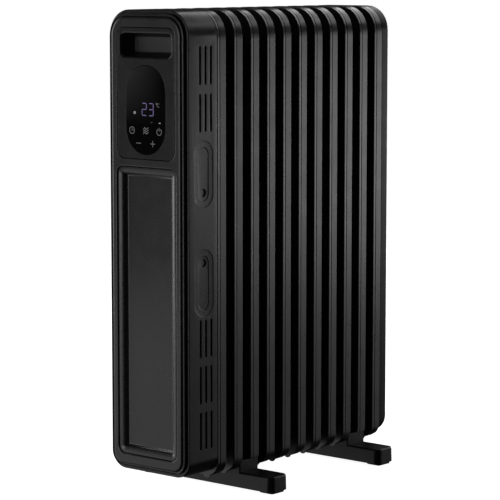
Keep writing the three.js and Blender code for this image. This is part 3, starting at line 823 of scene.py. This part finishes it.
def side_screw_mesh(name):
    """A housing screw: a domed head with a star recess, and its shank."""
    bm = new_mesh()
    low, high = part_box(name)
    side = 1 if high.x > 0 else -1
    height = (low.z + high.z) / 2 / MM
    head = BODY_HALF - max(abs(low.x), abs(high.x)) / MM
    end = BODY_HALF - min(abs(low.x), abs(high.x)) / MM
    place = side_place(side)
    drive = star(1.7, 0.75, 6, PILL_DEPTH, height, 6)
    face = disc(SCREW_RADIUS, PILL_DEPTH, height, 36)
    Rim(bm, drive, place, 0, head).walk((0.1, head + 1.0), (0.8, head + 1.3)).fill()
    pierce(bm, Rim(bm, drive, place, 0, head), Rim(bm, face, place, 1.5, head))
    rim = Rim(bm, face, place, 1.5, head)
    rim.walk((0.7, head + 0.15), (0.2, head + 0.5), (0, head + 1.0), (0, head + 1.7),
             (2.0, head + 1.8), (2.0, end - 0.6), (2.6, end)).fill()
    return bm


# Lit symbols: flat strokes a hair proud of the glass.

STROKE_FOOT = BEZEL_FRONT + 0.02
STROKE_LEVEL = -5.86


def bar_stroke(bm, start, end, width):
    """A straight stroke with square ends."""
    (u0, v0), (u1, v1) = start, end
    length = math.dist(start, end)
    made = bmesh.ops.create_grid(bm, x_segments=1, y_segments=1, size=0.5)["verts"]
    turn = math.atan2(v1 - v0, u1 - u0)
    for vert in made:
        along, across = vert.co.x * length, vert.co.y * width
        u = (u0 + u1) / 2 + along * math.cos(turn) - across * math.sin(turn)
        v = (v0 + v1) / 2 + along * math.sin(turn) + across * math.cos(turn)
        vert.co = front_place(u, v, STROKE_FOOT)


def arc_stroke(bm, u, v, radius, width, start=0.0, sweep=360.0, steps=28):
    """A round stroke, or the part of one between two angles."""
    angle = math.radians(start)
    ends = [front_place(u + reach * math.cos(angle), v + reach * math.sin(angle), STROKE_FOOT)
            for reach in (radius - width / 2, radius + width / 2)]
    pair = [bm.verts.new(end) for end in ends]
    edge = bm.edges.new(pair)
    bmesh.ops.spin(bm, geom=[*pair, edge], cent=front_place(u, v, STROKE_FOOT), axis=(0, -1, 0),
                   angle=math.radians(sweep), steps=steps, use_merge=sweep == 360.0)


SEGMENTS = {
    "a": ((0, 1), (1, 1)), "b": ((1, 1), (1, 0.5)), "c": ((1, 0.5), (1, 0)), "d": ((0, 0), (1, 0)),
    "e": ((0, 0.5), (0, 0)), "f": ((0, 1), (0, 0.5)), "g": ((0, 0.5), (1, 0.5)),
}


def digit(bm, left, low, width, height, lit):
    """A seven segment digit."""
    for name in lit:
        (u0, v0), (u1, v1) = SEGMENTS[name]
        start = Vector((left + u0 * width, low + v0 * height))
        end = Vector((left + u1 * width, low + v1 * height))
        gap = (end - start).normalized() * 0.55
        bar_stroke(bm, tuple(start + gap), tuple(end - gap), 0.95)


def raise_strokes(bm):
    """Gives flat strokes their thickness."""
    made = bmesh.ops.extrude_face_region(bm, geom=list(bm.faces))["geom"]
    verts = [item for item in made if isinstance(item, bmesh.types.BMVert)]
    bmesh.ops.translate(bm, vec=(0, (STROKE_LEVEL - STROKE_FOOT) * MM, 0), verts=verts)
    return bm


def reading_mesh():
    """The temperature reading."""
    bm = new_mesh()
    digit(bm, -6.2, 509.3, 7.6, 15.8, "abged")
    digit(bm, 6.0, 509.3, 7.6, 15.8, "abgcd")
    return raise_strokes(bm)


def symbol_mesh():
    """The unit, the clock, the heat waves, the power sign, plus and minus."""
    bm = new_mesh()
    arc_stroke(bm, 19.2, 525.2, 0.9, 0.5, steps=14)
    arc_stroke(bm, 22.6, 523.2, 2.3, 0.6, 50, 260, 18)
    arc_stroke(bm, -24.3, 489.1, 4.4, 0.75)
    bar_stroke(bm, (-24.3, 488.8), (-24.3, 492.1), 0.7)
    bar_stroke(bm, (-24.5, 489.1), (-21.9, 489.1), 0.7)
    for lift in (-3, 0, 3):
        arc_stroke(bm, -1.55, 488.4 + lift, 1.75, 0.8, 150, -120, 10)
        arc_stroke(bm, 1.48, 490.15 + lift, 1.75, 0.8, 210, 120, 10)
        arc_stroke(bm, 4.5, 488.4 + lift, 1.75, 0.8, 150, -70, 8)
        arc_stroke(bm, -4.5, 490.15 + lift, 1.75, 0.8, 330, -60, 8)
    arc_stroke(bm, 23.8, 488.6, 4.2, 0.8, 118, 304)
    bar_stroke(bm, (23.8, 489.4), (23.8, 494.2), 0.8)
    bar_stroke(bm, (-17, 472.6), (-8.6, 472.6), 0.8)
    bar_stroke(bm, (8.2, 472.5), (16.4, 472.5), 0.8)
    bar_stroke(bm, (12.3, 468.4), (12.3, 476.6), 0.8)
    return raise_strokes(bm)


def indicator_mesh():
    """The bright dash under the unit and the lamp beside the reading."""
    bm = new_mesh()
    bar_stroke(bm, (23.2, 500.1), (26.4, 500.1), 1.2)
    arc_stroke(bm, -19.5, 512.3, 1.3, 1.2, steps=16)
    return raise_strokes(bm)


def dash_mesh():
    """The dim dash under the reading."""
    bm = new_mesh()
    bar_stroke(bm, (9.4, 500.5), (11.8, 500.5), 0.9)
    return raise_strokes(bm)


# Operators.

class HeaterOperator:
    """What the heater's operators share: each builds its pieces once it is run."""
    bl_options = {"REGISTER", "UNDO"}

    def execute(self, context):
        self.build(context)
        return {"FINISHED"}


def paint(names, material):
    """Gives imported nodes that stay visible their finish."""
    for name in names:
        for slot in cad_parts[name].material_slots:
            slot.material = material


class HEATER_OT_fascia(HeaterOperator, bpy.types.Operator):
    """Builds the front frame, the control bezel, the grip pocket and the lower panel"""
    bl_idname = "heater.fascia"
    bl_label = "Front fascia"

    def build(self, context):
        colour = tuple(finishes().casing_colour)
        rough = finishes().casing_roughness
        # Painted light: the lower panel is a lighter copy of the casing colour, standing in for the
        # floor light on the lower front.
        panel = black_finish("lower panel satin black with painted light", tuple(part * 1.25 for part in colour),
                             rough - 0.02, 0.36, 700, 0.04)
        bezel = black_finish("bezel satin black", colour, rough - 0.04, 0.28, 700, 0.03)
        # Painted light: the grip pocket is a lighter copy of the casing colour, standing in for the
        # light on its shaded walls.
        pocket = black_finish("grip pocket black with painted light", tuple(part * 2.2 for part in colour),
                              rough + 0.12, 0.5, 700, 0.08)
        make_piece(fascia_mesh(), "fascia_frame", casing(), ["front_fascia"])
        make_piece(bezel_mesh(), "bezel_plate", bezel, ["control_bezel"])
        make_piece(grip_mesh(), "grip_pocket", pocket, ["grip_recess"])
        make_piece(lower_panel_mesh(), "lower_pan", panel, ["lower_panel"])


class HEATER_OT_display(HeaterOperator, bpy.types.Operator):
    """Builds the display glass and its lit symbols"""
    bl_idname = "heater.display"
    bl_label = "Display"

    def build(self, context):
        glow = finishes().symbol_glow
        make_piece(glass_mesh(), "window_glass", glass_finish(), ["display_glass"])
        lit = (
            ("display_reading", reading_mesh(), (0.56, 0.42, 1.0), 1.0),
            ("display_symbols", symbol_mesh(), (0.62, 0.62, 0.66), 0.7),
            ("display_lamps", indicator_mesh(), (1.0, 0.98, 0.9), 1.0),
            ("display_dash", dash_mesh(), (0.4, 0.4, 0.42), 0.5),
        )
        for name, mesh, colour, share in lit:
            finish = glow_finish(name.replace("_", " ") + " glow", colour, glow * share)
            make_piece(mesh, name, finish, weighted=False)


class HEATER_OT_housing(HeaterOperator, bpy.types.Operator):
    """Builds the housing and the screws in its sides"""
    bl_idname = "heater.housing"
    bl_label = "Housing"

    def build(self, context):
        make_piece(housing_mesh(), "housing_case", casing(), ["housing_shell"])
        black = metal_finish("screw black zinc", (0.1, 0.1, 0.1), (0.17, 0.17, 0.17), 0.38)
        for height in ("lower", "upper"):
            for hand in ("left", "right"):
                name = "housing_screw_%s_%s" % (height, hand)
                make_piece(side_screw_mesh(name), "case_screw_%s_%s" % (height, hand), black,
                           [name])


class HEATER_OT_cover(HeaterOperator, bpy.types.Operator):
    """Builds the end cover"""
    bl_idname = "heater.cover"
    bl_label = "End cover"

    def build(self, context):
        dull = black_finish("end cover matt black", tuple(finishes().casing_colour),
                            finishes().casing_roughness + 0.07, 0.13, 700, 0.05)
        make_piece(cover_mesh(), "end_cap", dull, ["rear_cover"])


class HEATER_OT_fins(HeaterOperator, bpy.types.Operator):
    """Builds the eleven pressed fins with their flanges, channels and header necks"""
    bl_idname = "heater.fins"
    bl_label = "Fins"

    def build(self, context):
        pattern = fin_mesh()
        for number, name in enumerate(FINS):
            bm = pattern.copy()
            if name in FIN_SEATS:
                cut = bmesh.ops.bisect_plane(
                    bm, geom=[*bm.verts, *bm.edges, *bm.faces], dist=0.0001, clear_outer=True,
                    plane_co=(0, 0, FIN_SEAT_TOP), plane_no=(0, 0, -1))["geom_cut"]
                rims = [item for item in cut if isinstance(item, bmesh.types.BMEdge)]
                bmesh.ops.triangle_fill(bm, use_beauty=True, use_dissolve=False, edges=rims)
            shift = Vector((0, JOINT + FIN_FRONT + number * FIN_PITCH, 0))
            bmesh.ops.translate(bm, vec=shift, verts=bm.verts)
            bmesh.ops.scale(bm, vec=(MM, MM, MM), verts=bm.verts)
            make_piece(bm, name.replace("fin", "fin_plate"), fin_paint(), [name],
                       crease=50)
        pattern.free()


class HEATER_OT_feet(HeaterOperator, bpy.types.Operator):
    """Builds the cross feet with their pads, U-bolts and wing nuts"""
    bl_idname = "heater.feet"
    bl_label = "Feet"

    def build(self, context):
        plastic = black_finish("foot satin black", (0.006, 0.006, 0.0062), 0.36, 0.22, 700, 0.05)
        rubber = plain_finish("pad rubber", (0.008, 0.008, 0.008), (0.014, 0.014, 0.014),
                              0.85, 700, 0.3)
        zinc = metal_finish("zinc plate", (0.42, 0.43, 0.44), (0.62, 0.63, 0.62), 0.34)
        for place in ("front", "rear"):
            name = place + "_foot"
            make_piece(foot_mesh(name), place + "_cross_foot", plastic, [name])
            name = place + "_foot_bolt"
            make_piece(bolt_mesh(name), place + "_u_bolt", zinc, [name])
            for hand in ("left", "right"):
                name = "%s_foot_pad_%s" % (place, hand)
                make_piece(pad_mesh(name), "%s_pad_%s" % (place, hand), rubber, [name])
                name = "%s_wing_nut_%s" % (place, hand)
                make_piece(wing_nut_mesh(name), "%s_wing_%s" % (place, hand), zinc, [name])


class HEATER_OT_inside(HeaterOperator, bpy.types.Operator):
    """Gives the parts inside the housing and on the headers their finishes"""
    bl_idname = "heater.inside"
    bl_label = "Inner parts"

    def build(self, context):
        steel = metal_finish("galvanised steel", (0.36, 0.37, 0.38), (0.6, 0.61, 0.62), 0.38)
        brass = metal_finish("turned brass", (0.36, 0.25, 0.1), (0.62, 0.46, 0.2), 0.3)
        tinted = metal_finish("heat tinted steel", (0.16, 0.12, 0.1), (0.36, 0.33, 0.3), 0.4)
        board = plain_finish("board solder mask", (0.008, 0.06, 0.03), (0.02, 0.11, 0.055),
                             0.35, 900, 0.05)
        white = plain_finish("white moulded plastic", (0.6, 0.59, 0.55), (0.72, 0.71, 0.67), 0.45)
        rubber = plain_finish("black bush rubber", (0.008, 0.008, 0.008), (0.016, 0.016, 0.016),
                              0.8, 700, 0.3)
        plug_paint = black_finish("plug satin black", (0.008, 0.008, 0.008), 0.4, 0.35, 900,
                                  0.12)
        paint(["heat_shield", "supply_transformer", "thermal_cutout", "tilt_switch_pin"], steel)
        paint(["oil_filler_plug", "element_plug", "tilt_switch_weight"], brass)
        paint(["element_hairpin_low", "element_hairpin_high"], tinted)
        paint(["display_board", "power_board"], board)
        paint(["relay_low", "relay_high", "terminal_block", "room_sensor", "tilt_switch_case",
               "light_guide"], white)
        paint(["cord_inlet", "buzzer"], rubber)
        paint(["upper_end_plug", "lower_end_plug"], plug_paint)


def softbox(name, azimuth, distance, height, size, power, aim):
    """A rectangular soft light that stands round the heater and looks at a point."""
    light = bpy.data.lights.new(name, "AREA")
    light.shape = "RECTANGLE"
    light.size, light.size_y = size
    light.energy = power
    lamp = bpy.data.objects.new(name, light)
    turn = math.radians(azimuth)
    lamp.location = (distance * math.sin(turn), -distance * math.cos(turn), height)
    lamp.rotation_euler = (Vector(aim) - lamp.location).to_track_quat("-Z", "Y").to_euler()
    lamp.visible_camera = False
    bpy.context.scene.collection.objects.link(lamp)


# The sky: height from the horizon (0) to the zenith (1), and brightness there.
SKY = ((0.0, 0.02), (0.4, 0.03), (0.7, 0.06), (1.0, 0.15))

# Each soft light: azimuth from the front, distance, height, width and height, power, aim.
LIGHTS = (
    ("soft_left", -78, 2.6, 0.7, (1.4, 1.6), 25, (0, 0, 0.35)),
    ("soft_front", -14, 3.0, 0.5, (1.3, 1.3), 18, (0, 0, 0.35)),
    ("low_front", -42, 1.0, 0.03, (1.3, 1.4), 2.0, (0, -0.2, 0.3)),
    ("near_front", -42, 0.55, 0.02, (0.9, 0.5), 0.8, (0, -0.15, 0.4)),
    ("soft_top_rear", 190, 2.5, 2.1, (1.8, 0.9), 15, (0, 0, 0.6)),
    ("soft_shoulder", 157, 2.4, 1.85, (0.9, 0.9), 5, (0, 0, 0.6)),
    ("soft_right_rear", 152, 2.0, 0.35, (1.2, 0.6), 5.2, (0, 0, 0.35)),
    ("low_right_rear", 146, 1.2, 0.03, (1.3, 1.0), 1.2, (0, 0.1, 0.2)),
    ("soft_back", 184, 3.2, 0.45, (1.0, 1.2), 34, (0, 0, 0.3)),
    ("soft_rear", 256, 3.0, 0.6, (1.2, 1.2), 12, (0, 0, 0.35)),
)


class HEATER_OT_stage(HeaterOperator, bpy.types.Operator):
    """Sets up the plain floor, the soft studio light and the camera"""
    bl_idname = "heater.stage"
    bl_label = "Stage"

    def build(self, context):
        stage = context.scene.heater_stage
        bm = bmesh.new()
        bmesh.ops.create_circle(bm, cap_ends=True, radius=FLOOR_RADIUS, segments=64)
        mesh = bpy.data.meshes.new("floor")
        bm.to_mesh(mesh)
        bm.free()
        floor = bpy.data.objects.new("floor", mesh)
        context.scene.collection.objects.link(floor)
        shade = plain_finish("pale floor", tuple(part * 0.995 for part in stage.floor_colour),
                             tuple(stage.floor_colour), 0.9, 3, 0)
        surface = shade.node_tree.nodes["Principled BSDF"]
        surface.inputs["Specular IOR Level"].default_value = 0
        surface.inputs["Emission Color"].default_value = (1, 1, 1, 1)
        surface.inputs["Emission Strength"].default_value = stage.floor_lift
        mesh.materials.append(shade)
        floor.visible_glossy = False
        floor.visible_diffuse = False
        self.sky(context, stage.sky_strength)
        for light in LIGHTS:
            softbox(*light)
        self.camera(context, stage.lens)
        context.scene.view_settings.view_transform = "Standard"

    def sky(self, context, strength):
        """Lights the stage from a sky that is brighter above."""
        world = bpy.data.worlds.new("soft sky")
        context.scene.world = world
        world.use_nodes = True
        tree = world.node_tree
        where = tree.nodes.new("ShaderNodeTexCoord")
        apart = tree.nodes.new("ShaderNodeSeparateXYZ")
        ramp = tree.nodes.new("ShaderNodeValToRGB")
        tree.links.new(where.outputs["Generated"], apart.inputs["Vector"])
        tree.links.new(apart.outputs["Z"], ramp.inputs["Fac"])
        tree.links.new(ramp.outputs["Color"], tree.nodes["Background"].inputs["Color"])
        for place, _ in SKY[1:-1]:
            ramp.color_ramp.elements.new(place)
        for stop, (place, value) in zip(ramp.color_ramp.elements, SKY):
            stop.position = place
            stop.color = (value, value, value, 1)
        tree.nodes["Background"].inputs["Strength"].default_value = strength

    def camera(self, context, lens):
        """Stands the camera in front, a little to the right and above."""
        data = bpy.data.cameras.new("camera")
        data.lens = lens
        data.sensor_width = 36
        data.clip_end = 400
        camera = bpy.data.objects.new("camera", data)
        azimuth, elevation = math.radians(CAMERA_TURN), math.radians(CAMERA_LIFT)
        back = Vector((math.sin(azimuth) * math.cos(elevation),
                       -math.cos(azimuth) * math.cos(elevation), math.sin(elevation)))
        camera.location = Vector(CAMERA_AIM) + back * CAMERA_DISTANCE
        camera.rotation_euler = (-back).to_track_quat("-Z", "Y").to_euler()
        context.scene.collection.objects.link(camera)
        context.scene.camera = camera


class HEATER_PT_panel(bpy.types.Panel):
    """Lists the heater's operators and the values that they use"""
    bl_label = "Oil filled radiator"
    bl_idname = "HEATER_PT_panel"
    bl_space_type = "VIEW_3D"
    bl_region_type = "UI"
    bl_category = "Heater"

    def draw(self, context):
        for operator in OPERATORS:
            self.layout.operator(operator.bl_idname)
        for group in ("heater_finishes", "heater_sizes", "heater_stage"):
            settings = getattr(context.scene, group)
            for name in settings.__annotations__:
                self.layout.prop(settings, name)


OPERATORS = (
    HEATER_OT_stage, HEATER_OT_fascia, HEATER_OT_display, HEATER_OT_housing, HEATER_OT_cover,
    HEATER_OT_fins, HEATER_OT_feet, HEATER_OT_inside,
)
GROUPS = (HeaterFinishes, HeaterSizes, HeaterStage)


def register():
    for item in (*GROUPS, *OPERATORS, HEATER_PT_panel):
        bpy.utils.register_class(item)
    bpy.types.Scene.heater_finishes = PointerProperty(type=HeaterFinishes)
    bpy.types.Scene.heater_sizes = PointerProperty(type=HeaterSizes)
    bpy.types.Scene.heater_stage = PointerProperty(type=HeaterStage)


def unregister():
    for name in ("heater_finishes", "heater_sizes", "heater_stage"):
        delattr(bpy.types.Scene, name)
    for item in reversed((*GROUPS, *OPERATORS, HEATER_PT_panel)):
        bpy.utils.unregister_class(item)


def main():
    register()
    for operator in OPERATORS:
        space, name = operator.bl_idname.split(".")
        getattr(getattr(bpy.ops, space), name)()


if __name__ == "__main__":
    main()
